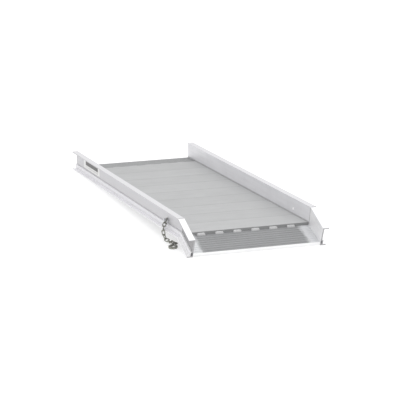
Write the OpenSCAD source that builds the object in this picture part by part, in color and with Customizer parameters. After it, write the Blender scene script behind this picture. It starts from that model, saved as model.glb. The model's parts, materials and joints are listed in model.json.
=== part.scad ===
// One-piece aluminium loading ramp. Cross planks form a deck between two flanged side
// rails, which are mitred and bent down at the front to carry a short ribbed apron.
// A safety chain with a latched hook is bolted to the left rail and lies beside it.
//
// The main section is modelled level: X across, Y from the bend (0) to the far end, and
// Z up from the line that the rails bend about (0), which is just under the deck. The
// whole ramp is then tilted to stand on its two ends, with the origin at the bottom
// centre of the ramp.

/* [Deck] */
// Clear width between the side rails
deck_w = 711.2; // [600:0.1:900]
// Width of one deck plank
plank_w = 203.2; // [150:0.1:250]
// Number of deck planks
plank_count = 9; // [5:1:12]
// Depth of a deck plank
plank_t = 20.5; // [18:0.5:22]
// Height of the deck's top above the line that the rails bend about
deck_rise = 12; // [10:0.5:14]
// Distance from the bend to the deck's front edge
deck_start = 8; // [6:0.1:12]
// Length of the sloped strip at the far end
end_strip_l = 153.2; // [120:0.1:180]
// Height that the strip's top falls by
end_fall = 7; // [4:0.5:9]

/* [Apron] */
// Length of the apron along its slope
apron_l = 170; // [150:1:200]
// Angle that the rails bend down by
apron_angle = 24.5; // [20:0.5:28]
// Distance from the bend line down to the apron plate's top back edge
apron_drop = 3.5; // [2:0.1:4]
// Angle by which the apron plate is flatter than its rails
plate_ease = 3.2; // [2:0.1:4]
// Thickness of the apron plate
plate_t = 5; // [4:0.5:5]
// Distance between the grip ribs
rib_pitch = 19; // [16:0.5:22]
// Height of the grip ribs
rib_h = 2.6; // [1:0.1:3]
// Thickness of the bar along the front edge
nose_t = 8; // [6:0.5:10]
// Height of that bar above the rails' bend line
nose_top = 6; // [5:0.5:8]

/* [Rails] */
// Height of a rail above the bend line
rail_above = 100; // [80:1:130]
// Depth of a rail below the bend line
rail_below = 11.5; // [11.5:0.5:14]
// Thickness of the upper web
web_t = 8; // [7:0.5:9]
// Width of the top flange
top_flange_w = 35.2; // [30:0.1:45]
// Width of the bottom flange
foot_flange_w = 33.7; // [30:0.1:34]
// Thickness of both flanges
flange_t = 6.4; // [5:0.1:6.5]
// Width of the hollow box at the foot of the web
box_w = 15; // [14:0.5:15]
// Height of that box above the bend line
box_top = 20.6; // [18:0.1:21]
// Wall thickness of that box
box_wall = 3.5; // [3:0.1:4]

/* [Chain] */
// Diameter of the hole through each web
hole_d = 14; // [12:0.5:16]
// Distance from the bend to that hole
hole_y = 228; // [215:1:240]
// Height of that hole above the bend line
hole_z = 41; // [39:0.5:43]
// Diameter of the chain wire
wire_d = 5.6; // [5.4:0.1:5.6]
// Inside length of a link
link_in_l = 24.4; // [24.4:0.1:24.6]
// Inside width of a link
link_in_w = 10.4; // [10.4:0.1:10.8]

/* [Hook] */
// Diameter of the hole in the hook's eye
eye_d = 14; // [14:0.5:15]

/* [Hidden] */
planks = [for (i = [1 : plank_count]) str("deck_plank_", i)];
// Pose of each link, in order from the bolt: roll about its length, drop, and heading
link_poses = [
    [0, 70, 180], [145, 35, 225], [75, 65, 230],
    [90, 100, 140], [150, 50, 280], [55, 10, 300],
    [-40, 0, 270], [30, -15, 275], [-75, 10, 295]
];
// Pose of the hook, given in the same way
hook_pose = [0, 5, 240];
link_count = len(link_poses);
links = [for (i = [1 : link_count]) str("chain_link_", i)];

end_strip_y = deck_start + plank_count * plank_w;
end_angle = atan(end_fall / end_strip_l);
plate_slope = apron_angle - plate_ease;
main_l = end_strip_y + end_strip_l;
web_in = deck_w / 2;
web_out = web_in + web_t;
cut = 3000;
seam = 0.8;

// Rest pose: the ramp stands on the far end's bottom edge and the apron's front edge
front_low = apron_point(-apron_l, -rail_below);
front_high = apron_point(-apron_l, rail_above);
tilt = atan2(-rail_below - front_low.y, main_l - front_low.x);
far_high = [main_l, rail_above];
lift = -level(main_l, -rail_below).y;
shift = -(level(front_high.x, front_high.y).x + level(far_high.x, far_high.y).x) / 2;

// A point of the apron's own frame, as [y, z] of the main section
function apron_point(y, z) = [
    y * cos(apron_angle) - z * sin(apron_angle),
    y * sin(apron_angle) + z * cos(apron_angle)
];
// A [y, z] point of the main section, turned level with the ground
function level(y, z) = [y * cos(tilt) + z * sin(tilt), z * cos(tilt) - y * sin(tilt)];

module at_rest() {
    translate([0, shift, lift]) rotate([-tilt, 0, 0]) children();
}

module on_apron() {
    rotate([apron_angle, 0, 0]) children();
}

// ---- shared shapes ------------------------------------------------------------

function unit(v) = v / norm(v);

// Points of one rounded corner, from a towards c with its corner at b
function corner_arc(a, b, c, r, n = 3) =
    let (
        u = unit(a - b),
        v = unit(c - b),
        half = acos(u * v) / 2,
        centre = b + unit(u + v) * r / sin(half),
        from = b + u * r / tan(half) - centre,
        to = b + v * r / tan(half) - centre
    )
    [for (k = [0 : n]) centre + r * unit(from * (1 - k / n) + to * k / n)];

// An outline with each corner rounded by its own radius: each point is [x, y, radius]
function rounded(pts) = [
    for (i = [0 : len(pts) - 1])
        let (
            a = pts[(i + len(pts) - 1) % len(pts)],
            b = pts[i],
            c = pts[(i + 1) % len(pts)]
        )
        each b.z == 0 ? [[b.x, b.y]] : corner_arc([a.x, a.y], [b.x, b.y], [c.x, c.y], b.z)
];

// Extrudes a section drawn in Y and Z along X, centred
module along_x(length) {
    translate([-length / 2, 0, 0]) rotate([90, 0, 90]) linear_extrude(length) children();
}

// Extrudes a section drawn in X and Z along Y, from y0 to y1
module along_y(y0, y1) {
    translate([0, y1, 0]) rotate([90, 0, 0]) linear_extrude(y1 - y0) children();
}

// ---- side rails ---------------------------------------------------------------

// Section of the left rail: x is measured outwards from the web's inner face
module rail_section() {
    edge = 1.2;
    root = 2;
    difference() {
        polygon(rounded([
            [0, -rail_below, 0.6],
            [foot_flange_w, -rail_below, edge],
            [foot_flange_w, flange_t - rail_below, edge],
            [box_w, flange_t - rail_below, root],
            [box_w, box_top, edge],
            [web_t, box_top, root],
            [web_t, rail_above - flange_t, root],
            [top_flange_w, rail_above - flange_t, edge],
            [top_flange_w, rail_above, edge],
            [0, rail_above, edge]
        ]));
        translate([box_wall, flange_t - rail_below])
            square([box_w - 2 * box_wall, box_top - box_wall - flange_t + rail_below]);
    }
}

module web_hole() {
    translate([web_in - 1, hole_y, hole_z])
        rotate([0, 90, 0]) cylinder(d = hole_d, h = web_t + 2, $fn = 48);
}

module right_main_rail() {
    mitre_reach = 60;
    color("lightgray") at_rest() difference() {
        translate([web_in, 0, 0]) along_y(-mitre_reach, main_l) rail_section();
        rotate([apron_angle / 2, 0, 0]) translate([0, -cut, -cut / 2]) cube(cut);
        web_hole();
    }
}

module right_apron_rail() {
    mitre_reach = 60;
    color("gainsboro") at_rest() difference() {
        on_apron() translate([web_in, 0, 0]) along_y(-apron_l, mitre_reach) rail_section();
        rotate([apron_angle / 2, 0, 0]) translate([0, 0, -cut / 2]) cube(cut);
    }
}

module left_main_rail() {
    mirror([1, 0, 0]) right_main_rail();
}

module left_apron_rail() {
    mirror([1, 0, 0]) right_apron_rail();
}

// ---- deck ---------------------------------------------------------------------

// Section of a strip of deck, open below between its legs
module plank_section(width, cells) {
    skin = 4;
    leg = 4;
    pitch = (width - leg) / cells;
    difference() {
        polygon([
            [0, -plank_t], [0, -seam], [seam, 0],
            [width - seam, 0], [width, -seam], [width, -plank_t]
        ]);
        for (k = [0 : cells - 1])
            translate([leg + k * pitch, -plank_t - 1]) square([pitch - leg, plank_t + 1 - skin]);
    }
}

module deck_plank(i) {
    color("silver") at_rest()
        translate([0, deck_start + (i - 1) * plank_w, deck_rise])
            along_x(deck_w) plank_section(plank_w, 6);
}

rib_foot = 7;
rib_crown = 3.4;

// Section of one grip rib, rooted in a flat top
module rib_section() {
    root = 0.5;
    polygon([
        [-rib_foot / 2, -root], [rib_foot / 2, -root], [rib_foot / 2, 0],
        [rib_crown / 2, rib_h], [-rib_crown / 2, rib_h], [-rib_foot / 2, 0]
    ]);
}

// A point of the end strip's section: a distance down its slope, and a height above it
function on_slope(d, h) = [
    d * cos(end_angle) + h * sin(end_angle),
    h * cos(end_angle) - d * sin(end_angle)
];

module end_strip() {
    first_rib = 16;
    ribs = floor((end_strip_l - first_rib) / rib_pitch) + 1;
    color("darkgray") at_rest() translate([0, end_strip_y, deck_rise]) along_x(deck_w) polygon([
        [0, -plank_t], [0, -seam], on_slope(seam, 0),
        for (k = [0 : ribs - 1]) let (d = first_rib + k * rib_pitch) each [
            on_slope(d - rib_foot / 2, 0), on_slope(d - rib_crown / 2, rib_h),
            on_slope(d + rib_crown / 2, rib_h), on_slope(d + rib_foot / 2, 0)
        ],
        [end_strip_l, -end_fall], [end_strip_l, -plank_t]
    ]);
}

// ---- apron --------------------------------------------------------------------

module on_plate() {
    translate([0, deck_start, -apron_drop]) rotate([plate_slope, 0, 0]) children();
}

module apron_plate() {
    first_rib = 15;
    ribs = floor((apron_l - first_rib) / rib_pitch);
    color("darkgray") at_rest() difference() {
        on_plate() union() {
            along_x(deck_w) translate([-apron_l - 30, -plate_t]) square([apron_l + 60, plate_t]);
            for (k = [0 : ribs - 1])
                translate([0, -first_rib - k * rib_pitch, 0]) along_x(deck_w) rib_section();
        }
        translate([-cut / 2, deck_start, -cut / 2]) cube(cut);
        on_apron() translate([-cut / 2, nose_t - apron_l - cut, -cut / 2]) cube(cut);
    }
}

module nose_bar() {
    edge = 1.2;
    color("whitesmoke") at_rest() on_apron() along_x(deck_w) polygon(rounded([
        [-apron_l, -rail_below, edge],
        [nose_t - apron_l, -rail_below, 0],
        [nose_t - apron_l, nose_top, edge],
        [-apron_l, nose_top, edge]
    ]));
}

// Bent bar under the front edge of the deck, which carries the back of the apron plate
module kink_backing_bar() {
    bar = 3;
    back = 40;
    reach = 24;
    under_deck = deck_rise - plank_t;
    under_plate = -apron_drop - plate_t / cos(plate_slope);
    front = [deck_start, under_plate] - reach * [cos(plate_slope), sin(plate_slope)];
    color("gray") at_rest() along_x(deck_w) polygon([
        [back, under_deck], [deck_start, under_deck], [deck_start, under_plate], front,
        front + bar * [sin(plate_slope), -cos(plate_slope)],
        [deck_start, under_deck - bar], [back, under_deck - bar]
    ]);
}

// ---- welds --------------------------------------------------------------------

// Section of a fillet bead in the corner between two faces, along [y, z] directions a and b
module fillet_section(a, b, leg) {
    bulge = unit(a + b) * leg * 0.62;
    polygon([[0, 0], a * leg, bulge, b * leg]);
}

stitch_pitch = 101.6;
stitch_l = 48;
stitch_count = 6;

// Repeats a bead in a row across the deck, evenly about its centre
module stitch_row() {
    for (k = [0 : stitch_count - 1])
        translate([(k - (stitch_count - 1) / 2) * stitch_pitch, 0, 0]) along_x(stitch_l) children();
}

// Beads in the corner between the apron plate and the front edge of the deck
module apron_stitch_welds() {
    leg = 9.5;
    color("white") at_rest() translate([0, deck_start, -apron_drop])
        stitch_row() fillet_section([0, 1], [-cos(plate_slope), -sin(plate_slope)], leg);
}

// Beads over the seam between the last plank and the end strip
module end_stitch_welds() {
    half_w = 3.5;
    bead_h = 1.6;
    color("white") at_rest() translate([0, end_strip_y, deck_rise]) stitch_row() polygon([
        [-half_w, 0], [-seam, 0], [0, -seam], on_slope(seam, 0), on_slope(half_w, 0), [0, bead_h]
    ]);
}

module right_deck_weld() {
    leg = 3;
    color("white") at_rest() translate([web_in, 0, deck_rise])
        along_y(deck_start, end_strip_y) fillet_section([0, 1], [-1, 0], leg);
}

module left_deck_weld() {
    mirror([1, 0, 0]) right_deck_weld();
}

// Beads that close the mitre: over the top flange, on the outer web and on the inner web
module right_mitre_welds() {
    bead_w = 5;
    bead_h = 0.9;
    half = apron_angle / 2;
    root = 2.5;
    flange_clear = 2;
    inner_foot = 2;
    color("white") at_rest() union() {
        translate([web_in + top_flange_w / 2, -rail_above * tan(half), rail_above])
            along_x(top_flange_w - 2 * root) polygon([
                [0, 0], [bead_w / 2, 0], [-bead_h * sin(half), bead_h * cos(half)],
                [-bead_w / 2 * cos(apron_angle), -bead_w / 2 * sin(apron_angle)]
            ]);
        rotate([half, 0, 0]) translate([web_out, -bead_w / 2, box_top + flange_clear])
            cube([bead_h, bead_w, rail_above - flange_t - box_top - 2 * flange_clear]);
        rotate([half, 0, 0]) translate([web_in - bead_h, -bead_w / 2, inner_foot])
            cube([bead_h, bead_w, rail_above - root - 2 * inner_foot]);
    }
}

module left_mitre_welds() {
    mirror([1, 0, 0]) right_mitre_welds();
}

// Bead along the corner between the apron plate and the back of the nose bar
module nose_weld() {
    leg = 2.2;
    plate_y = deck_start * cos(apron_angle) - apron_drop * sin(apron_angle);
    plate_z = -deck_start * sin(apron_angle) - apron_drop * cos(apron_angle);
    height = plate_z + (plate_y + apron_l - nose_t) * tan(plate_ease);
    color("white") at_rest() on_apron() translate([0, nose_t - apron_l, height])
        along_x(deck_w - 6)
            fillet_section([0, 1], [cos(plate_ease), -sin(plate_ease)], leg);
}

// ---- label --------------------------------------------------------------------

module blank_label() {
    label_l = 330;
    label_h = 56;
    label_t = 0.5;
    label_y = 1500;
    label_z = 58;
    color("white") at_rest() translate([-web_out - label_t, label_y, label_z - label_h / 2])
        cube([label_t, label_l, label_h]);
}

// ---- chain bolt ---------------------------------------------------------------

bolt_d = 9.5;
spacer_t = 3;
washer_t = 1.6;
link_gap = 13.8;
head_t = 5;
inner_washer_t = 2;
nut_t = 8;
bolt_tail = 3;
seat = web_out + spacer_t;
hole_rest = level(hole_y, hole_z) + [shift, lift];

// Places X pointing outwards from the left web along the hole's axis
module at_bolt(x) {
    translate([-x, hole_rest.x, hole_rest.y]) rotate([0, -90, 0]) children();
}

module ring_washer(outer, inner, t) {
    difference() {
        cylinder(d = outer, h = t, $fn = 48);
        translate([0, 0, -1]) cylinder(d = inner, h = t + 2, $fn = 48);
    }
}

module chain_bolt() {
    head_w = 14.3;
    head_x = seat + link_gap + washer_t;
    tail_x = web_in - inner_washer_t - nut_t - bolt_tail;
    color("gainsboro") union() {
        at_bolt(head_x) cylinder(d = head_w / cos(30), h = head_t, $fn = 6);
        at_bolt(tail_x) cylinder(d = bolt_d, h = head_x - tail_x + 1, $fn = 32);
    }
}

module chain_spacer() {
    color("gainsboro") at_bolt(web_out) ring_washer(22, bolt_d + 0.3, spacer_t);
}

module chain_outer_washer() {
    color("gainsboro") at_bolt(seat + link_gap) ring_washer(20, bolt_d + 0.3, washer_t);
}

module chain_inner_washer() {
    color("gainsboro") at_bolt(web_in - inner_washer_t) ring_washer(25, bolt_d + 0.3, inner_washer_t);
}

module chain_lock_nut() {
    color("gainsboro") at_bolt(web_in - inner_washer_t - nut_t) difference() {
        cylinder(d = 14.3 / cos(30), h = nut_t, $fn = 6);
        translate([0, 0, -1]) cylinder(d = bolt_d, h = nut_t + 2, $fn = 32);
    }
}

// ---- chain --------------------------------------------------------------------

wire_r = wire_d / 2;
link_end_r = link_in_w / 2 + wire_r;
link_half = link_in_l / 2 - link_in_w / 2;
bar_reach = link_in_l / 2 + wire_r;
bar_gap = 0.4;
hook_bar_r = 4;
hook_eye_reach = eye_d / 2 + hook_bar_r;
bolt_gap = 0.6;
first_hang = 6.4;
first_x = -seat - first_hang;

// Turns a direction of a piece's own frame into the ramp's: pose is roll, drop, heading
function turn_x(v, a) = [v.x, v.y * cos(a) - v.z * sin(a), v.y * sin(a) + v.z * cos(a)];
function turn_y(v, a) = [v.x * cos(a) + v.z * sin(a), v.y, v.z * cos(a) - v.x * sin(a)];
function turn_z(v, a) = [v.x * cos(a) - v.y * sin(a), v.x * sin(a) + v.y * cos(a), v.z];
function turned(v, pose) = turn_z(turn_y(turn_x(v, pose.x), pose.y), pose.z);
function heading(pose) = turned([1, 0, 0], pose);
function bar(pose) = turned([0, 1, 0], pose);

// Direction in which two hooked bars pull apart, at right angles to both
function pull(a, b) = let (n = unit(cross(bar(a), bar(b)))) n * sign(n * heading(a));

// Centre of the next piece on the chain, from the centre of the one before
function next_centre(c, a, b, reach_b, separation) =
    c + bar_reach * heading(a) - separation * pull(a, b) + reach_b * heading(b);

function link_centre(i) = i == 0
    ? [first_x, hole_rest.x, hole_rest.y]
        + (link_in_l / 2 - bolt_d / 2 - bolt_gap) * heading(link_poses[0])
    : next_centre(link_centre(i - 1), link_poses[i - 1], link_poses[i], bar_reach,
                  wire_d + bar_gap);

// One chain link: two straights and two half rings, its length along X
module chain_link() {
    for (side = [-1, 1]) {
        translate([-link_half, side * link_end_r, 0])
            rotate([0, 90, 0]) cylinder(r = wire_r, h = 2 * link_half, $fn = 32);
        translate([side * link_half, 0, 0]) rotate([0, 0, -side * 90])
            rotate_extrude(angle = 180, $fn = 48) translate([link_end_r, 0]) circle(wire_r, $fn = 32);
    }
}

module chain_link_at(i) {
    color("dimgray") translate(link_centre(i)) rotate(link_poses[i]) chain_link();
}

// ---- hook ---------------------------------------------------------------------

hook_centre = next_centre(link_centre(link_count - 1), link_poses[link_count - 1], hook_pose,
                          hook_eye_reach, wire_r + hook_bar_r + bar_gap);

module at_hook() {
    translate(hook_centre) rotate(hook_pose) children();
}

bowl_t = 10;
shank_t = 6;
bowl_x = 52;
bowl_r = 14;
bowl_side = 11;
tip_x = 40;
latch_pivot = [20, 3];
latch_angle = 12.6;
latch_l = 24;
latch_t = 1.6;
cheek_t = 1.1;
cheek_gap = 0.25;
rivet_d = 3.6;
cheek_out = shank_t / 2 + cheek_gap + cheek_t;

module slab(t) {
    translate([0, 0, -t / 2]) linear_extrude(t) children();
}

module at_pivot() {
    translate([latch_pivot.x, latch_pivot.y, 0]) children();
}

// Outline of the bowl: an open ring, thicker at its foot, that ends in a rounded point
module bowl_outline() {
    tip_r = 4.6;
    difference() {
        translate([bowl_x + 1, 0]) circle(bowl_r + bowl_side, $fn = 72);
        translate([bowl_x - 1, 0]) circle(bowl_r, $fn = 64);
        translate([0, -8]) square([tip_x, 60]);
        translate([0, -60]) square([tip_x, 60]);
    }
    translate([tip_x + 0.5, 15.5]) circle(tip_r, $fn = 32);
}

// Outline of the shank, from the eye down to the back of the bowl
module shank_outline() {
    polygon([
        [9, 8], [17, 7.5], [22, 5], [27, 0], [33, -5], [39.5, -8], [44, -12],
        [46, -24.5], [tip_x, -22], [30, -18], [20, -13], [9, -9]
    ]);
}

module hook_body() {
    pocket_r = 11;
    slot_r = 4.4;
    slot_t = 3.2;
    color("slategray") at_hook() difference() {
        union() {
            rotate_extrude($fn = 48)
                translate([eye_d / 2 + hook_bar_r, 0]) circle(hook_bar_r, $fn = 24);
            slab(bowl_t) bowl_outline();
            difference() {
                slab(bowl_t) shank_outline();
                for (side = [-1, 1])
                    at_pivot() translate([0, 0, side * (shank_t / 2 + 5)])
                        cylinder(r = pocket_r, h = 10, center = true, $fn = 48);
                cylinder(d = eye_d + 2 * hook_bar_r, h = 20, center = true, $fn = 48);
            }
            slab(shank_t) difference() {
                translate([9, -8]) square([8, 16]);
                circle(d = eye_d + hook_bar_r, $fn = 48);
            }
        }
        at_pivot() cylinder(d = rivet_d, h = 20, center = true, $fn = 32);
        at_pivot() cylinder(r = slot_r, h = slot_t, center = true, $fn = 32);
    }
}

// Latch: a strip across the throat, held by two cheeks that straddle the shank
module hook_latch() {
    strip_from = 8;
    cheek_r = 3.6;
    play = 0.05;
    color("darkgray") at_hook() at_pivot() rotate([0, 0, latch_angle]) union() {
        translate([strip_from, -latch_t / 2, -cheek_out])
            cube([latch_l - strip_from, latch_t, 2 * cheek_out]);
        for (side = [-1, 1]) translate([0, 0, side * (cheek_out - cheek_t / 2)])
            slab(cheek_t) difference() {
                union() {
                    circle(cheek_r, $fn = 32);
                    translate([0, -cheek_r + 0.6]) square([strip_from + 2, cheek_r + 0.2]);
                }
                circle(d = rivet_d + 2 * play, $fn = 32);
            }
    }
}

module latch_rivet() {
    head_d = 6.4;
    head_gap = 0.15;
    rivet_head_t = 1;
    under = cheek_out + head_gap;
    color("gray") at_hook() at_pivot() union() {
        cylinder(d = rivet_d, h = 2 * under + 1, center = true, $fn = 32);
        for (side = [-1, 1]) translate([0, 0, side * (under + rivet_head_t / 2)])
            cylinder(d = head_d, h = rivet_head_t, center = true, $fn = 32);
    }
}

// Spring coil on the rivet, in the slot of the shank
module latch_spring() {
    color("gray") at_hook() at_pivot() slab(2.8) difference() {
        circle(r = 3.6, $fn = 32);
        circle(r = rivet_d / 2 + 0.3, $fn = 32);
    }
}

// ---- all nodes ----------------------------------------------------------------

left_main_rail();
left_apron_rail();
right_main_rail();
right_apron_rail();
for (i = [1 : plank_count]) deck_plank(i);
end_strip();
apron_plate();
nose_bar();
kink_backing_bar();
apron_stitch_welds();
end_stitch_welds();
left_deck_weld();
right_deck_weld();
left_mitre_welds();
right_mitre_welds();
nose_weld();
blank_label();
chain_bolt();
chain_spacer();
chain_outer_washer();
chain_inner_washer();
chain_lock_nut();
for (i = [1 : link_count]) chain_link_at(i - 1);
hook_body();
hook_latch();
latch_rivet();
latch_spring();
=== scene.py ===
"""One-piece aluminium loading ramp with a safety chain and a latched hook."""

import json
import math

import bpy
import numpy as np
from mathutils import Matrix, Vector, noise


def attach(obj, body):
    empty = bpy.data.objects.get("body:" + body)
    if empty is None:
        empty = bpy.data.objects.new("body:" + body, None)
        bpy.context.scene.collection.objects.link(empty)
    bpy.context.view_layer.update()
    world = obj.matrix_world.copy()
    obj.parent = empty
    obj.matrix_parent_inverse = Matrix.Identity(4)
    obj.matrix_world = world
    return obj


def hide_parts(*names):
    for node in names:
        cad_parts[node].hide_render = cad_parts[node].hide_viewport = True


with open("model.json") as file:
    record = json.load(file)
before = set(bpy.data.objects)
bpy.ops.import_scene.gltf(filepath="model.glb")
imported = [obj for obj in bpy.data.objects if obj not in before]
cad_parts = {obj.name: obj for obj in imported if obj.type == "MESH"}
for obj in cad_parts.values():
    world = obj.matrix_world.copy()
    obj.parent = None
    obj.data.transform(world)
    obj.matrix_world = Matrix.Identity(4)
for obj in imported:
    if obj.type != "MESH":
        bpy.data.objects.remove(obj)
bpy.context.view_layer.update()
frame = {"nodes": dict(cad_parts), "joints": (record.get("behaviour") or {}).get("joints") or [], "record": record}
nodes = frame["nodes"]
record = frame["record"]
scene = bpy.context.scene


# ---- camera ---------------------------------------------------------------------------

VIEW = Vector((0.32171, 0.91559, -0.24123)).normalized()
camera_data = bpy.data.cameras.new("camera")
camera_data.lens = 184.5
camera_data.sensor_width = 36
camera_data.clip_end = 100
camera = bpy.data.objects.new("camera", camera_data)
camera.location = (-3.7106, -10.7123, 2.8475)
camera.rotation_mode = "QUATERNION"
camera.rotation_quaternion = VIEW.to_track_quat("-Z", "Y")
scene.collection.objects.link(camera)
scene.camera = camera


# ---- how the ramp stands --------------------------------------------------------------

# Sizes of the CAD part, in metres, in the main section's own frame: X across, Y along it
# from the bend, Z up from the line that the rails bend about
WEB_IN = 0.3556
WEB_OUT = 0.3636
RAIL_TOP = 0.100
FLANGE_W = 0.0352
BOX_TOP = 0.0206
FLANGE_T = 0.0064
DECK_Y = 0.008
DECK_Z = 0.012
PLANK_W = 0.2032
PLANK_COUNT = 9
DECK_END = DECK_Y + PLANK_COUNT * PLANK_W
PLATE_Z = -0.0035
END_FALL = 0.007
END_STRIP_L = 0.1532
APRON_L = 0.170
NOSE_T = 0.008
STITCH_COUNT = 6
STITCH_PITCH = 0.1016
STITCH_L = 0.048
PLATE_EASE = math.radians(3.2)
BOLT_Y = 0.228
BOLT_Z = 0.041
HOLE_R = 0.007

# The left rail's rest mount in the same frame
REST_MOUNT = Vector((-0.375, 1.0, -0.0115))

# The hook's bowl and its latch's pivot, from the middle of its eye
BOWL_X = 0.052
PIVOT_X = 0.020
PIVOT_Y = 0.003
LATCH_ANGLE = math.radians(12.6)

mounts = {m["name"]: m for m in record["mounts"]}
joints = {j["name"]: j for j in frame["joints"]}


def slope_of(mount):
    down = mounts[mount]["axis"]
    return math.atan2(down[1], -down[2])


# The main section's frame and the apron's, from the rest faces that the record states
MAIN_SLOPE = slope_of("rail_underside_left")
APRON_SLOPE = slope_of("truck_end_rest_left")
BEND = APRON_SLOPE - MAIN_SLOPE
turn = Matrix.Rotation(MAIN_SLOPE, 3, "X")
bend_line = Vector(mounts["rail_underside_left"]["pos_m"]) - turn @ REST_MOUNT
MAIN = Matrix.Translation(bend_line) @ turn.to_4x4()
APRON = MAIN @ Matrix.Rotation(BEND, 4, "X")

hole = Vector(mounts["right_chain_hole"]["pos_m"])
BOLT = Matrix(((0, 0, -1, 0), (0, 1, 0, hole.y), (1, 0, 0, hole.z), (0, 0, 0, 1)))

# The hook's frame: X from the eye to the bowl, Z through its thickness
bowl = Vector(mounts["hook_bowl"]["pos_m"])
pivot = Vector(joints["latch_swing"]["pos_m"])
through = Vector(mounts["hook_bowl"]["axis"]).normalized()
pivot_angle = math.atan2(PIVOT_Y, BOWL_X - PIVOT_X)
hook_x = (Matrix.Rotation(pivot_angle, 3, through) @ (bowl - pivot)).normalized()
hook_axes = Matrix((hook_x, through.cross(hook_x), through)).transposed()
HOOK = Matrix.Translation(bowl - BOWL_X * hook_x) @ hook_axes.to_4x4()
PIVOT = HOOK @ Matrix.Translation((PIVOT_X, PIVOT_Y, 0))
LATCH = PIVOT @ Matrix.Rotation(LATCH_ANGLE, 4, "Z")


# ---- material helpers -----------------------------------------------------------------


class Nodes:
    """Short calls for building one material in the frame that a piece was drawn in."""

    def __init__(self, name, place=Matrix.Identity(4)):
        self.material = bpy.data.materials.new(name)
        self.material.use_nodes = True
        self.tree = self.material.node_tree
        self.shader = self.tree.nodes["Principled BSDF"]
        euler = place.to_euler()
        coords = self.add("ShaderNodeTexCoord")
        local = self.add("ShaderNodeMapping")
        local.vector_type = "TEXTURE"
        local.inputs["Location"].default_value = place.to_translation()
        local.inputs["Rotation"].default_value = euler
        self.link(coords.outputs["Object"], local.inputs["Vector"])
        self.place = local.outputs["Vector"]
        faced = self.add("ShaderNodeMapping")
        faced.vector_type = "TEXTURE"
        faced.inputs["Rotation"].default_value = euler
        self.link(coords.outputs["Normal"], faced.inputs["Vector"])
        self.normal = faced.outputs["Vector"]

    def add(self, kind):
        return self.tree.nodes.new(kind)

    def link(self, a, b):
        self.tree.links.new(a, b)

    def part(self, vector, axis):
        node = self.add("ShaderNodeSeparateXYZ")
        self.link(vector, node.inputs[0])
        return node.outputs["xyz".index(axis)]

    def stretched(self, scale):
        node = self.add("ShaderNodeMapping")
        node.inputs["Scale"].default_value = scale
        self.link(self.place, node.inputs["Vector"])
        return node.outputs["Vector"]

    def noise(self, scale, detail=3.0, rough=0.55, stretch=(1, 1, 1)):
        node = self.add("ShaderNodeTexNoise")
        node.inputs["Scale"].default_value = scale
        node.inputs["Detail"].default_value = detail
        node.inputs["Roughness"].default_value = rough
        self.link(self.stretched(stretch), node.inputs["Vector"])
        return node.outputs["Fac"]

    def spread(self, value, lo, hi, to_lo, to_hi):
        node = self.add("ShaderNodeMapRange")
        ends = {"From Min": lo, "From Max": hi, "To Min": to_lo, "To Max": to_hi}
        for key, number in ends.items():
            node.inputs[key].default_value = number
        self.link(value, node.inputs["Value"])
        return node.outputs["Result"]

    def math(self, how, a, b=0.0):
        node = self.add("ShaderNodeMath")
        node.operation = how
        for socket, value in zip(node.inputs, (a, b)):
            if isinstance(value, (int, float)):
                socket.default_value = value
            else:
                self.link(value, socket)
        return node.outputs[0]

    def distance(self, a, b):
        """The length of a step of a one way and b at right angles to it."""
        squares = self.math("ADD", self.math("MULTIPLY", a, a), self.math("MULTIPLY", b, b))
        return self.math("SQRT", squares)

    def ragged(self, value, grain, by):
        """A value that a grain moves by up to about by, for an uneven edge."""
        return self.math("ADD", value, self.spread(grain, 0.3, 0.7, -by, by))

    def sideways(self):
        """Distance from the ramp's middle plane."""
        return self.math("ABSOLUTE", self.part(self.place, "x"))

    def mix(self, factor, a, b):
        node = self.add("ShaderNodeMix")
        node.data_type = "RGBA"
        self.link(factor, node.inputs[0])
        for socket, value in zip((node.inputs[6], node.inputs[7]), (a, b)):
            if isinstance(value, tuple):
                socket.default_value = (*value, 1)
            else:
                self.link(value, socket)
        return node.outputs[2]

    def bump(self, height, distance, before=None):
        node = self.add("ShaderNodeBump")
        node.inputs["Distance"].default_value = distance
        self.link(height, node.inputs["Height"])
        if before is not None:
            self.link(before, node.inputs["Normal"])
        return node.outputs["Normal"]

    def set(self, key, value):
        socket = self.shader.inputs[key]
        if isinstance(value, tuple):
            socket.default_value = (*value, 1)
        elif isinstance(value, (int, float)):
            socket.default_value = value
        else:
            self.link(value, socket)


def tinted(colour, by):
    """A colour made lighter or darker, up to white."""
    return tuple(min(1.0, c * by) for c in colour)


# How dark the seam dirt and the painted corner shade make a metal
DIRT_AND_SHADE = 0.35


def painted_corner_shade(m, corner):
    """A painted shade in a welded inner corner at (|x|, z), fading out on its inner side."""
    dx = m.math("SUBTRACT", m.sideways(), corner[0])
    dz = m.math("SUBTRACT", m.part(m.place, "z"), corner[1])
    reach = m.ragged(m.distance(dx, dz), m.noise(220, 4.0, 0.7), 0.0015)
    inside = m.spread(m.sideways(), corner[0] + 0.0004, corner[0] + 0.001, 1, 0)
    return m.math("MULTIPLY", m.spread(reach, 0.003, 0.009, 0.4, 0), inside)


def seam_dirt(m, first, pitch):
    """Dirt at even seams across Y, over planks that differ a little in shade."""
    along = m.math("SUBTRACT", m.part(m.place, "y"), first)
    near = m.math("PINGPONG", along, pitch / 2)
    number = m.math("FLOOR", m.math("DIVIDE", along, pitch))
    each = m.math("FRACT", m.math("MULTIPLY", number, 0.618))
    worn = m.ragged(near, m.noise(160, 4.0, 0.7, (0.3, 1, 1)), 0.001)
    return m.math("ADD", m.spread(worn, 0.001, 0.006, 0.28, 0), m.math("MULTIPLY", each, 0.07))


def plate_end_reflection(m):
    """A painted reflection of the rails on a plate's ends beside them."""
    edge = m.ragged(m.sideways(), m.noise(70, 4.0, 0.7, (1, 0.3, 1)), 0.008)
    return m.spread(edge, WEB_IN - 0.070, WEB_IN - 0.045, 0, 0.9)


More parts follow.
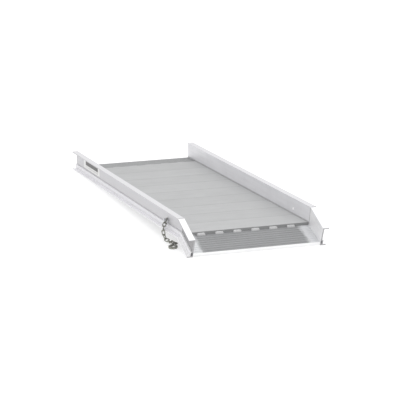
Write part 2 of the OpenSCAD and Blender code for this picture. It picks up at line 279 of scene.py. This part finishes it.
def rail_painted_light(m, tint, colour, shades, mottle):
    """Tones of a rail's top, of its web's outer face and of the box outside it.

    They stand in for the light on each face, as painted light and shade. A painted shade
    darkens the web's foot where it meets the box, and the box's top is painted lighter.
    """
    out = m.sideways()
    side = m.math("SIGN", m.part(m.place, "x"))
    outward = m.spread(m.math("MULTIPLY", side, m.part(m.normal, "x")), 0.5, 0.8, 0, 1)
    top = m.spread(m.part(m.normal, "z"), 0.5, 0.8, 0, 1)
    low = m.spread(m.part(m.place, "z"), BOX_TOP + 0.0005, BOX_TOP + 0.001, 1, 0)
    box = m.math("MULTIPLY", low, m.spread(out, WEB_OUT, WEB_OUT + 0.0005, 0, 1))
    for mask, shade in zip((top, outward, box), shades):
        tint = m.mix(mask, tint, tinted(colour, shade))
    # The box's top is painted lighter, for the light falling on it from above.
    tint = m.mix(m.math("MULTIPLY", box, top), tint, tinted(colour, 1.12))
    # A painted shade on the web's foot, in the corner where it meets the box.
    dx = m.math("SUBTRACT", out, WEB_OUT)
    dz = m.math("SUBTRACT", m.part(m.place, "z"), BOX_TOP)
    web_foot_shade = m.spread(m.ragged(m.distance(dx, dz), mottle, 0.001), 0.0025, 0.007, 0.5, 0)
    on_web = m.math("MULTIPLY", outward, m.spread(out, WEB_OUT + 0.0004, WEB_OUT + 0.0008, 1, 0))
    return m.mix(m.math("MULTIPLY", web_foot_shade, on_web), tint, tinted(colour, 0.3))


def hole_light_ring(m, y, z, radius):
    """A painted light on the cut edge of a hole through the web, where light shows into the hole."""
    dy = m.math("SUBTRACT", m.part(m.place, "y"), y)
    dz = m.math("SUBTRACT", m.part(m.place, "z"), z)
    return m.spread(m.distance(dy, dz), radius + 0.0006, radius + 0.0012, 1, 0)


def aluminium(name, colour, rough, place, along, contrast=0.05, sawn_and_shaded=None, shaded_corner=None,
              lit_hole=None, shades=None, end_reflection=None, seams=None, metallic=0.35):
    """Mill-finish aluminium: drawing lines along one axis, scuffs and a soft mottle.

    sawn_and_shaded is how dark and how light faces across Y are, with saw marks; their darkness
    is partly painted shade. shaded_corner is a welded corner for painted_corner_shade, seams is
    (first, pitch) for seam_dirt, shades are painted light and shade for rail_painted_light and
    lit_hole is (y, z, radius) for hole_light_ring. end_reflection is how light the painted
    reflection of the rails on a plate's ends is.
    """
    m = Nodes(name, place)
    axis = "xy".index(along)
    fine = [1.0, 1.0, 1.0]
    fine[axis] = 0.006
    lines = m.noise(900, 2.0, 0.6, tuple(fine))
    broad = [1.0, 1.0, 1.0]
    broad[axis] = 0.05
    streaks = m.noise(60, 3.0, 0.6, tuple(broad))
    mottle = m.noise(9, 4.0, 0.6)
    scuffs = m.spread(m.noise(30, 5.0, 0.75, (1, 1, 3)), 0.56, 0.74, 0, 1)
    shade = m.ragged(m.spread(streaks, 0.3, 0.7, -0.6, 0.6), mottle, 0.6)
    tone = m.spread(shade, -1, 1, 0, 1)
    tint = m.mix(tone, tinted(colour, 1 - contrast), tinted(colour, 1 + contrast))
    roughness = m.math("ADD", m.spread(lines, 0.35, 0.65, rough - 0.05, rough + 0.05),
                       m.math("MULTIPLY", scuffs, 0.04))
    # A painted shade in the welded inner corner.
    if shaded_corner:
        corner_shade = painted_corner_shade(m, shaded_corner)
        tint = m.mix(corner_shade, tint, tinted(colour, DIRT_AND_SHADE))
        roughness = m.math("ADD", roughness, m.math("MULTIPLY", corner_shade, 0.2))
    if seams:
        tint = m.mix(seam_dirt(m, *seams), tint, tinted(colour, DIRT_AND_SHADE))
    # A painted reflection of the rails on the plate's ends.
    if end_reflection:
        tint = m.mix(plate_end_reflection(m), tint, tinted(colour, end_reflection))
    # Painted light and shade on the rail's faces.
    if shades:
        tint = rail_painted_light(m, tint, colour, shades, mottle)
    # Faces across Y are painted darker, with saw marks: partly their cut finish, partly painted shade.
    if sawn_and_shaded:
        across = m.math("ABSOLUTE", m.part(m.normal, "y"))
        cut = m.spread(across, 0.9, 0.97, 0, 1)
        saw = m.noise(500, 2.0, 0.7, (1.0, 1.0, 0.03))
        marks = m.mix(saw, tinted(colour, sawn_and_shaded[0]), tinted(colour, sawn_and_shaded[1]))
        tint = m.mix(cut, tint, marks)
        roughness = m.math("ADD", roughness, m.math("MULTIPLY", cut, 0.12))
    # A painted light on the edge of the chain hole.
    if lit_hole:
        hole_light = hole_light_ring(m, *lit_hole)
        tint = m.mix(hole_light, tint, (0.97, 0.97, 0.97))
        roughness = m.math("SUBTRACT", roughness, m.math("MULTIPLY", hole_light, 0.2))
    m.set("Base Color", tint)
    m.set("Metallic", metallic)
    m.set("Roughness", roughness)
    surface = m.bump(lines, 0.000015)
    m.set("Normal", m.bump(streaks, 0.00006, surface))
    return m.material


def weld_bead(name, colour, rough):
    """Weld metal with dark specks and a fine crust."""
    m = Nodes(name)
    mottle = m.noise(260, 4.0, 0.65)
    specks = m.spread(m.noise(900, 2.0, 0.6), 0.60, 0.72, 0, 1)
    tint = m.mix(m.spread(mottle, 0.3, 0.7, 0, 1), tinted(colour, 0.82), tinted(colour, 1.12))
    m.set("Base Color", m.mix(m.math("MULTIPLY", specks, 0.5), tint, tinted(colour, 0.45)))
    m.set("Metallic", 0.4)
    m.set("Roughness", m.spread(mottle, 0.3, 0.7, rough - 0.06, rough + 0.08))
    m.set("Normal", m.bump(m.noise(1500, 3.0, 0.6), 0.00005))
    return m.material


def plated(name, light, dark, rough, place=Matrix.Identity(4), flash=False):
    """Zinc-plated steel: a cloudy two-tone plate, dirt in the grain and fine pits.

    flash raises a thin forging line around the middle of the piece's thickness.
    """
    m = Nodes(name, place)
    cloud = m.spread(m.noise(140, 4.0, 0.6), 0.35, 0.65, 0, 1)
    grain = m.noise(1400, 3.0, 0.6)
    pits = m.spread(m.noise(700, 2.0, 0.5), 0.62, 0.70, 0, 1)
    tint = m.mix(cloud, dark, light)
    m.set("Base Color", m.mix(m.math("MULTIPLY", pits, 0.6), tint, tinted(dark, 0.5)))
    m.set("Metallic", 1.0)
    m.set("Roughness", m.spread(cloud, 0, 1, rough + 0.08, rough - 0.04))
    surface = m.bump(grain, 0.00005)
    surface = m.bump(m.math("SUBTRACT", 1.0, pits), 0.00006, surface)
    if flash:
        height = m.math("ABSOLUTE", m.part(m.place, "z"))
        surface = m.bump(m.spread(height, 0.0002, 0.0007, 1, 0), 0.0002, surface)
    m.set("Normal", surface)
    return m.material


def plain(name, colour, rough):
    """A plastic or printed surface with a faint cloud and a fine grain."""
    m = Nodes(name)
    cloud = m.noise(120, 3.0, 0.6)
    tone = m.spread(cloud, 0.35, 0.65, 0, 1)
    m.set("Base Color", m.mix(tone, tinted(colour, 0.95), tinted(colour, 1.03)))
    m.set("Roughness", m.spread(cloud, 0.3, 0.7, rough - 0.05, rough + 0.07))
    m.set("Normal", m.bump(m.noise(900, 3.0, 0.6), 0.00002))
    return m.material


# ---- materials ------------------------------------------------------------------------

corner = (WEB_IN, DECK_Z)
# The rails carry painted light and shade on each face, a painted shade in the deck corner, a painted light on the
# chain hole's edge and end faces painted darker, partly as shade.
rail_metal = aluminium("rail_aluminium", (0.87, 0.865, 0.89), 0.44, MAIN, "y", sawn_and_shaded=(0.35, 0.5),
                       shaded_corner=corner, lit_hole=(BOLT_Y, BOLT_Z, HOLE_R), shades=(0.83, 0.69, 0.93))
# The apron rails are the same aluminium as the main rails, painted lighter, with their own painted light and shade
# on each face.
apron_rail_painted_lighter = aluminium("apron_rail_aluminium_painted_lighter", (0.96, 0.955, 0.98), 0.44, APRON, "y",
                             sawn_and_shaded=(0.35, 0.5), shades=(0.95, 0.34, 0.92))
# The deck gets a painted shade in its corners beside the rails, and its plank ends are painted darker, partly as
# shade.
deck_metal = aluminium("deck_aluminium", (0.46, 0.464, 0.468), 0.55, MAIN, "x", 0.06,
                       sawn_and_shaded=(0.54, 0.64), shaded_corner=corner, seams=(DECK_Y, PLANK_W), metallic=0.1)
# The plate's ends carry a painted reflection of the rails.
ribbed_metal = aluminium("ribbed_aluminium", (0.30, 0.303, 0.31), 0.36, APRON, "x", 0.06,
                         end_reflection=2.3)
end_metal = aluminium("end_strip_aluminium", (0.32, 0.324, 0.328), 0.46, MAIN, "x", 0.06)
nose_metal = aluminium("nose_aluminium", (0.86, 0.862, 0.865), 0.38, APRON, "x")
weld_metal = weld_bead("weld_aluminium", (0.52, 0.52, 0.525), 0.40)
# Weld metal painted darker, as painted shade along the deck seams and the flange mitres.
shaded_weld = weld_bead("weld_aluminium_painted_shade", (0.40, 0.40, 0.405), 0.45)
bright_zinc = plated("bright_zinc", (0.66, 0.67, 0.69), (0.50, 0.51, 0.53), 0.30)
chain_zinc = plated("chain_zinc", (0.42, 0.42, 0.38), (0.22, 0.22, 0.195), 0.34)
hook_zinc = plated("hook_zinc", (0.38, 0.38, 0.34), (0.20, 0.20, 0.18), 0.36, HOOK, flash=True)
latch_zinc = plated("latch_zinc", (0.52, 0.52, 0.49), (0.36, 0.36, 0.34), 0.30)
vinyl = plain("label_vinyl", (0.80, 0.80, 0.79), 0.34)
dark_ink = plain("label_dark_ink", (0.075, 0.072, 0.070), 0.38)
red_ink = plain("label_red_ink", (0.60, 0.20, 0.19), 0.38)
grey_ink = plain("label_grey_ink", (0.50, 0.50, 0.50), 0.38)
nylon = plain("nut_nylon", (0.10, 0.22, 0.42), 0.45)


def assign(obj, material):
    if not obj.data.materials:
        obj.data.materials.append(material)
    for i in range(len(obj.data.materials)):
        obj.data.materials[i] = material


FINISHES = {
    "left_main_rail": rail_metal, "right_main_rail": rail_metal,
    "left_apron_rail": apron_rail_painted_lighter, "right_apron_rail": apron_rail_painted_lighter,
    "kink_backing_bar": deck_metal, "apron_plate": ribbed_metal, "end_strip": end_metal,
    "nose_bar": nose_metal, "chain_spacer": bright_zinc, "chain_outer_washer": bright_zinc,
    "chain_inner_washer": bright_zinc, "hook_body": hook_zinc, "hook_latch": latch_zinc,
}
for name in nodes:
    if name.startswith("deck_plank"):
        assign(nodes[name], deck_metal)
    elif name in FINISHES:
        assign(nodes[name], FINISHES[name])


# ---- small rounding of the CAD pieces -------------------------------------------------


def soften(name, width, segments=2, angle=50):
    edge = nodes[name].modifiers.new("edge", "BEVEL")
    edge.width = width
    edge.segments = segments
    edge.limit_method = "ANGLE"
    edge.angle_limit = math.radians(angle)
    edge.harden_normals = True


for name in ("left_main_rail", "right_main_rail", "left_apron_rail", "right_apron_rail"):
    soften(name, 0.0004)
for name in ("apron_plate", "end_strip"):
    soften(name, 0.0006, angle=25)
soften("nose_bar", 0.0005)
for name in ("chain_spacer", "chain_outer_washer", "chain_inner_washer"):
    soften(name, 0.00025)
soften("hook_latch", 0.00035)

forged = nodes["hook_body"].modifiers.new("forged", "REMESH")
forged.mode = "VOXEL"
forged.voxel_size = 0.0005
forged.use_smooth_shade = True
worn = nodes["hook_body"].modifiers.new("worn", "SMOOTH")
worn.factor = 0.5
worn.iterations = 22


# ---- shapes ---------------------------------------------------------------------------


def skin(rings, loop=False):
    """A shell through rings of points, with its ends capped, or joined when loop is set."""
    n = len(rings[0])
    count = len(rings)
    points = [p for ring in rings for p in ring]
    faces = []
    for i in range(count if loop else count - 1):
        j = (i + 1) % count
        for k in range(n):
            after = (k + 1) % n
            faces.append((i * n + k, i * n + after, j * n + after, j * n + k))
    if not loop:
        faces.append(tuple(reversed(range(n))))
        faces.append(tuple(range((count - 1) * n, count * n)))
    return points, faces


def build(name, shells, material, body, stands_for=(), sharp=40):
    points, faces = [], []
    for shell_points, shell_faces in shells:
        first = len(points)
        points += [tuple(p) for p in shell_points]
        faces += [tuple(i + first for i in face) for face in shell_faces]
    mesh = bpy.data.meshes.new(name)
    mesh.from_pydata(points, [], faces)
    mesh.shade_smooth()
    mesh.set_sharp_from_angle(angle=math.radians(sharp))
    mesh.materials.append(material)
    obj = bpy.data.objects.new(name, mesh)
    scene.collection.objects.link(obj)
    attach(obj, body)
    if stands_for:
        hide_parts(*stands_for)


def turned(profile, place, segments=40, loop=False, limit=None):
    """Turns a profile of (radius, height) about Z.

    limit(angle) is the most that a radius can be.
    """
    rings = []
    for radius, height in profile:
        ring = []
        for k in range(segments):
            a = 2 * math.pi * k / segments
            r = min(radius, limit(a)) if limit else radius
            ring.append(place @ Vector((r * math.cos(a), r * math.sin(a), height)))
        rings.append(ring)
    return skin(rings, loop)


def swept(path, radius, place, sides=12, loop=False):
    """A round wire along points. radius is a number, or a function of the point's index."""
    count = len(path)
    rings = []
    side = None
    for i, p in enumerate(path):
        ahead = path[(i + 1) % count] if loop or i < count - 1 else p
        behind = path[i - 1] if loop or i > 0 else p
        along = (ahead - behind).normalized()
        if side is None:
            side = along.orthogonal().normalized()
        side = (side - along * side.dot(along)).normalized()
        up = along.cross(side)
        r = radius(i) if callable(radius) else radius
        ring = []
        for k in range(sides):
            a = 2 * math.pi * k / sides
            ring.append(place @ (p + r * (math.cos(a) * side + math.sin(a) * up)))
        rings.append(ring)
    return skin(rings, loop)


def bead(place, start, end, a, b, out, leg, rise, pitch=0.0034):
    """A weld bead from start to end with overlapping crescent ripples.

    a and b point from its root along the two faces that it joins, and out points away
    from both. leg is its reach along them, rise its crown, and pitch that of its ripples.
    """
    start, end, a, b, out = (Vector(v) for v in (start, end, a, b, out))
    along = end - start
    length = along.length
    along.normalize()
    steps = int(length / pitch * 5)
    across = 8
    rings = []
    for i in range(steps + 1):
        t = length * i / steps
        near = min(1.0, min(t, length - t) / leg + 0.06)
        size = math.sqrt(1 - (1 - near) ** 2)
        sway = 1 + 0.10 * noise.noise(Vector((t * 110, start.x * 31, start.y * 17)))
        ring = [place @ (start + along * t - 0.0003 * out)]
        for k in range(across + 1):
            s = k / across
            crown = 4 * s * (1 - s)
            ripple = abs(math.sin(math.pi * (t / pitch + 0.5 * crown)))
            flat = (a * (1 - s) + b * s) * leg * size * sway
            lift = out * rise * size * crown * (0.72 + 0.38 * ripple)
            ring.append(place @ (start + along * t + flat + lift))
        rings.append(ring)
    return skin(rings)


# ---- welds ----------------------------------------------------------------------------

stitch_x = [(k - (STITCH_COUNT - 1) / 2) * STITCH_PITCH for k in range(STITCH_COUNT)]
half_l = STITCH_L / 2
plate_dir = Vector((0, -math.cos(BEND - PLATE_EASE), -math.sin(BEND - PLATE_EASE)))
riser_out = (plate_dir + Vector((0, 0, 1))).normalized()
build(
    "apron_stitches",
    [bead(MAIN, (x - half_l, DECK_Y, PLATE_Z), (x + half_l, DECK_Y, PLATE_Z),
          (0, 0, 1), plate_dir, riser_out, 0.0095, 0.0016) for x in stitch_x],
    weld_metal, "ramp", ["apron_stitch_welds"],
)
build(
    "end_stitches",
    [bead(MAIN, (x - half_l, DECK_END, DECK_Z), (x + half_l, DECK_END, DECK_Z),
          (0, -1, 0), (0, 1, -END_FALL / END_STRIP_L), (0, 0, 1), 0.0036, 0.0017)
     for x in stitch_x],
    weld_metal, "ramp", ["end_stitch_welds"],
)
for side, word in ((-1, "left"), (1, "right")):
    build(
        word + "_deck_seam",
        [bead(MAIN, (side * WEB_IN, DECK_Y, DECK_Z), (side * WEB_IN, DECK_END, DECK_Z),
              (0, 0, 1), (-side, 0, 0), Vector((-side, 0, 1)).normalized(),
              0.003, 0.0006, 0.004)],
        shaded_weld, "ramp", [word + "_deck_weld"],
    )
    half = BEND / 2
    mitre = MAIN @ Matrix.Rotation(half, 4, "X")
    slant = 1 / math.cos(half)
    build(
        word + "_mitre_beads",
        [
            bead(mitre, (side * WEB_OUT, 0, BOX_TOP * slant + 0.002),
                 (side * WEB_OUT, 0, (RAIL_TOP - FLANGE_T) * slant - 0.002),
                 (0, 1, 0), (0, -1, 0), (side, 0, 0), 0.0026, 0.0009),
            bead(mitre, (side * WEB_IN, 0, 0.002), (side * WEB_IN, 0, RAIL_TOP * slant - 0.003),
                 (0, 1, 0), (0, -1, 0), (-side, 0, 0), 0.0026, 0.0009),
        ],
        weld_metal, "ramp", [word + "_mitre_welds"],
    )
    build(
        word + "_flange_bead",
        [bead(mitre, (side * (WEB_IN + 0.0025), 0, RAIL_TOP * slant),
              (side * (WEB_IN + FLANGE_W - 0.0025), 0, RAIL_TOP * slant),
              (0, math.cos(half), -math.sin(half)), (0, -math.cos(half), -math.sin(half)),
              (0, 0, 1), 0.0032, 0.0016)],
        shaded_weld, "ramp",
    )
root = Matrix.Rotation(-BEND, 3, "X") @ Vector((0, DECK_Y, PLATE_Z))
nose_y = NOSE_T - APRON_L
nose_z = root.z + (root.y - nose_y) * math.tan(PLATE_EASE)
build(
    "nose_bead",
    [bead(APRON, (-WEB_IN + 0.003, nose_y, nose_z), (WEB_IN - 0.003, nose_y, nose_z),
          (0, 0, 1), (0, math.cos(PLATE_EASE), -math.sin(PLATE_EASE)),
          Vector((0, 1, 1)).normalized(), 0.0022, 0.0005)],
    weld_metal, "ramp", ["nose_weld"],
)


# ---- label ----------------------------------------------------------------------------

LABEL_Y, LABEL_L, LABEL_Z, LABEL_H = 1.500, 0.330, 0.058, 0.056


def patch(y0, y1, z0, z1, depth, radius):
    """A thin rounded patch on the left rail's web, given along the rail and up it."""
    outline = []
    for cy, cz, first in ((y1, z1, 0), (y0, z1, 90), (y0, z0, 180), (y1, z0, 270)):
        sy = radius if cy == y1 else -radius
        sz = radius if cz == z1 else -radius
        for k in range(7):
            a = math.radians(first + 15 * k)
            outline.append((cy - sy + radius * math.cos(a), cz - sz + radius * math.sin(a)))
    faces = (WEB_OUT, WEB_OUT + depth)
    return skin([[MAIN @ Vector((-x, y, z)) for y, z in outline] for x in faces])


def on_label(u0, u1, v0, v1):
    """A printed bar: u runs along the label from its near end and v up it, both 0 to 1."""
    return patch(LABEL_Y + u0 * LABEL_L, LABEL_Y + u1 * LABEL_L, LABEL_Z + (v0 - 0.5) * LABEL_H,
                 LABEL_Z + (v1 - 0.5) * LABEL_H, 0.00056, 0.0006)


sheet = patch(LABEL_Y, LABEL_Y + LABEL_L, LABEL_Z - LABEL_H / 2, LABEL_Z + LABEL_H / 2,
              0.0005, 0.004)
build("label_sheet", [sheet], vinyl, "ramp", ["blank_label"])
build("label_dark_bar", [on_label(0.10, 0.87, 0.38, 0.80)], dark_ink, "ramp")
build("label_red_bar", [on_label(0.58, 0.93, 0.84, 0.92)], red_ink, "ramp")
build("label_lines", [on_label(0.10, 0.86, 0.24, 0.28), on_label(0.10, 0.70, 0.14, 0.18)],
      grey_ink, "ramp")


# ---- chain bolt -----------------------------------------------------------------------

HEX_W = 0.0143
BOLT_R = 0.00475
SPACER_T = 0.003
LINK_ROOM = 0.0138
WASHER_T = 0.0016
HEAD_H = 0.005
COLLAR_Z = 0.0058
NUT_L = 0.0078


def hexagon(angle):
    """How far out a hexagon's side is at an angle."""
    return HEX_W / 2 / math.cos(angle % (math.pi / 3) - math.pi / 6)


def hex_corners(z, way):
    """The profile that rounds off a hexagon's corners from a height, down (-1) or up (1)."""
    return [(HEX_W / 2 * 0.95 + k * 0.00022, z + way * k * 0.000127) for k in range(6)]


head_x = WEB_OUT + SPACER_T + LINK_ROOM + WASHER_T
nut_x = WEB_IN - 0.002
head = [(HEX_W, head_x), (HEX_W, head_x + HEAD_H / 2)]
head += reversed(hex_corners(head_x + HEAD_H, -1))
thread = [(BOLT_R - 0.0009, nut_x - 0.011), (BOLT_R - 0.0005, nut_x - 0.0106)]
for k in range(5):
    depth = 0.0006 if k % 2 else 0.0001
    thread.append((BOLT_R - depth, nut_x - 0.0104 + k * 0.00065))
build(
    "hex_bolt",
    [
        turned(head, BOLT, 72, limit=hexagon),
        turned([(BOLT_R, nut_x - NUT_L), (BOLT_R, head_x)], BOLT),
        turned(thread, BOLT),
    ],
    bright_zinc, "ramp", ["chain_bolt"], sharp=25,
)
nut = [(BOLT_R, nut_x - NUT_L), (0.0052, nut_x - NUT_L), (0.0062, nut_x - 0.0074),
       (0.0065, nut_x - 0.0066), (0.0066, nut_x - COLLAR_Z)]
nut += hex_corners(nut_x - COLLAR_Z, 1)
nut += [(HEX_W, nut_x - 0.003), (HEX_W, nut_x), (BOLT_R, nut_x)]
build("lock_nut", [turned(nut, BOLT, 72, True, hexagon)],
      bright_zinc, "ramp", ["chain_lock_nut"], sharp=25)
insert = [(BOLT_R - 0.0001, nut_x - 0.0079), (0.0056, nut_x - 0.0079),
          (0.0056, nut_x - 0.0070), (BOLT_R - 0.0001, nut_x - 0.0070)]
build("nut_insert", [turned(insert, BOLT, loop=True)], nylon, "ramp")


# ---- chain ----------------------------------------------------------------------------

WIRE_R = 0.0028
LINK_HALF = 0.007
LINK_TURN = 0.008
LINK_COUNT = 9
SIDE_POINTS = 24
TURN_POINTS = 28


def own_axes(node):
    """A node's own frame from the spread of its points: X its longest way, Z its shortest."""
    world = np.array([node.matrix_world @ v.co for v in node.data.vertices])
    _, axes = np.linalg.eigh(np.cov(world.T))
    x, y = Vector(axes[:, 2]), Vector(axes[:, 1])
    frame3 = Matrix((x, y, x.cross(y))).transposed()
    flat = world @ np.array(frame3)
    middle = (flat.min(axis=0) + flat.max(axis=0)) / 2
    return Matrix.Translation(frame3 @ Vector(middle)) @ frame3.to_4x4()


def link_path():
    """A link's middle line, with more points on its welded side, which comes first."""
    points = []
    for k in range(SIDE_POINTS):
        points.append(Vector((-LINK_HALF + 2 * LINK_HALF * k / SIDE_POINTS, LINK_TURN, 0)))
    for k in range(TURN_POINTS):
        a = math.pi * (0.5 - k / TURN_POINTS)
        points.append(Vector((LINK_HALF + LINK_TURN * math.cos(a), LINK_TURN * math.sin(a), 0)))
    for k in range(10):
        points.append(Vector((LINK_HALF - 2 * LINK_HALF * k / 10, -LINK_TURN, 0)))
    for k in range(TURN_POINTS):
        a = math.pi * (1.5 - k / TURN_POINTS)
        points.append(Vector((-LINK_HALF + LINK_TURN * math.cos(a), LINK_TURN * math.sin(a), 0)))
    return points


path = link_path()


def upset(i):
    """Wire radius along a link: swollen where it was welded, in the middle of one side."""
    if i >= SIDE_POINTS:
        return WIRE_R
    away = abs(path[i].x)
    swell = 0.09 * math.exp(-(away / 0.0016) ** 2)
    neck = 0.03 * math.exp(-((away - 0.0026) / 0.0007) ** 2)
    return WIRE_R * (1 + swell - neck)


for i in range(1, LINK_COUNT + 1):
    node = nodes[f"chain_link_{i}"]
    build(f"link_{i}_wire", [swept(path, upset, own_axes(node), 16, True)],
          chain_zinc, f"link_{i}", [f"chain_link_{i}"], sharp=60)


# ---- hook's latch ---------------------------------------------------------------------

rivet_top = 0.0045
dome = [(0.0032 * math.cos(math.radians(a)), rivet_top + 0.0011 * math.sin(math.radians(a)))
        for a in range(0, 90, 11)]
rivet = [(r, -z) for r, z in reversed(dome)] + [(0.0018, -rivet_top), (0.0018, rivet_top)] + dome
build("domed_rivet", [turned(rivet, PIVOT)], latch_zinc, "hook", ["latch_rivet"],
      sharp=50)

COIL_R, COIL_WIRE = 0.0027, 0.00035
COIL_L = 0.0022
COIL_TURNS = 3
coil = []
for k in range(24 * COIL_TURNS):
    a = math.pi * k / 12
    rise = COIL_L * (a / (2 * math.pi * COIL_TURNS) - 0.5)
    coil.append(Vector((COIL_R * math.cos(a), COIL_R * math.sin(a), rise)))
foot = [coil[0] + Vector((0, -0.0012, 0)), coil[0] + Vector((0, -0.0005, 0))]
build("spring_coil", [swept(foot + coil, COIL_WIRE, PIVOT, 8)], bright_zinc, "hook",
      ["latch_spring"], sharp=60)
leg_mm = ((-0.8, -2.6), (1.5, -2.7), (4, -2.4), (7, -1.7), (9, -1.25), (14, -1.2))
leg = [Vector((x * 0.001, y * 0.001, COIL_L / 2)) for x, y in leg_mm]
build("spring_leg", [swept(leg, COIL_WIRE, LATCH, 8)], bright_zinc, "latch",
      sharp=60)


# ---- floor and light ------------------------------------------------------------------

floor_mesh = bpy.data.meshes.new("floor")
reach = 30
corners = [(-reach, -reach, 0), (reach, -reach, 0), (reach, reach, 0), (-reach, reach, 0)]
floor_mesh.from_pydata(corners, [], [(0, 1, 2, 3)])
floor = bpy.data.objects.new("floor", floor_mesh)
scene.collection.objects.link(floor)
floor_mat = bpy.data.materials.new("floor")
floor_mat.use_nodes = True
floor_shader = floor_mat.node_tree.nodes["Principled BSDF"]
floor_shader.inputs["Base Color"].default_value = (0.52, 0.52, 0.52, 1)
floor_shader.inputs["Roughness"].default_value = 0.9
floor_shader.inputs["Emission Color"].default_value = (1, 1, 1, 1)
floor_shader.inputs["Emission Strength"].default_value = 0.58
assign(floor, floor_mat)

# An even white studio that is a little dimmer towards the left
world = bpy.data.worlds.new("studio")
world.use_nodes = True
tree = world.node_tree
coords = tree.nodes.new("ShaderNodeTexCoord")
split = tree.nodes.new("ShaderNodeSeparateXYZ")
fade = tree.nodes.new("ShaderNodeMapRange")
fade.inputs["From Min"].default_value = -1.0
fade.inputs["From Max"].default_value = 0.1
fade.inputs["To Min"].default_value = 0.70
fade.inputs["To Max"].default_value = 1.0
tree.links.new(coords.outputs["Generated"], split.inputs[0])
tree.links.new(split.outputs[0], fade.inputs["Value"])
tree.nodes["Background"].inputs["Color"].default_value = (1, 1, 1, 1)
tree.links.new(fade.outputs["Result"], tree.nodes["Background"].inputs["Strength"])
scene.world = world


def softbox(name, place, target, size, power):
    data = bpy.data.lights.new(name, "AREA")
    data.shape = "RECTANGLE"
    data.size, data.size_y = size
    data.energy = power
    lamp = bpy.data.objects.new(name, data)
    lamp.location = place
    lamp.rotation_mode = "QUATERNION"
    lamp.rotation_quaternion = (Vector(target) - Vector(place)).to_track_quat("-Z", "Y")
    scene.collection.objects.link(lamp)


softbox("overhead", (0, -1, 5), (0, 0, 0), (4, 5), 75)

scene.view_settings.view_transform = "Standard"
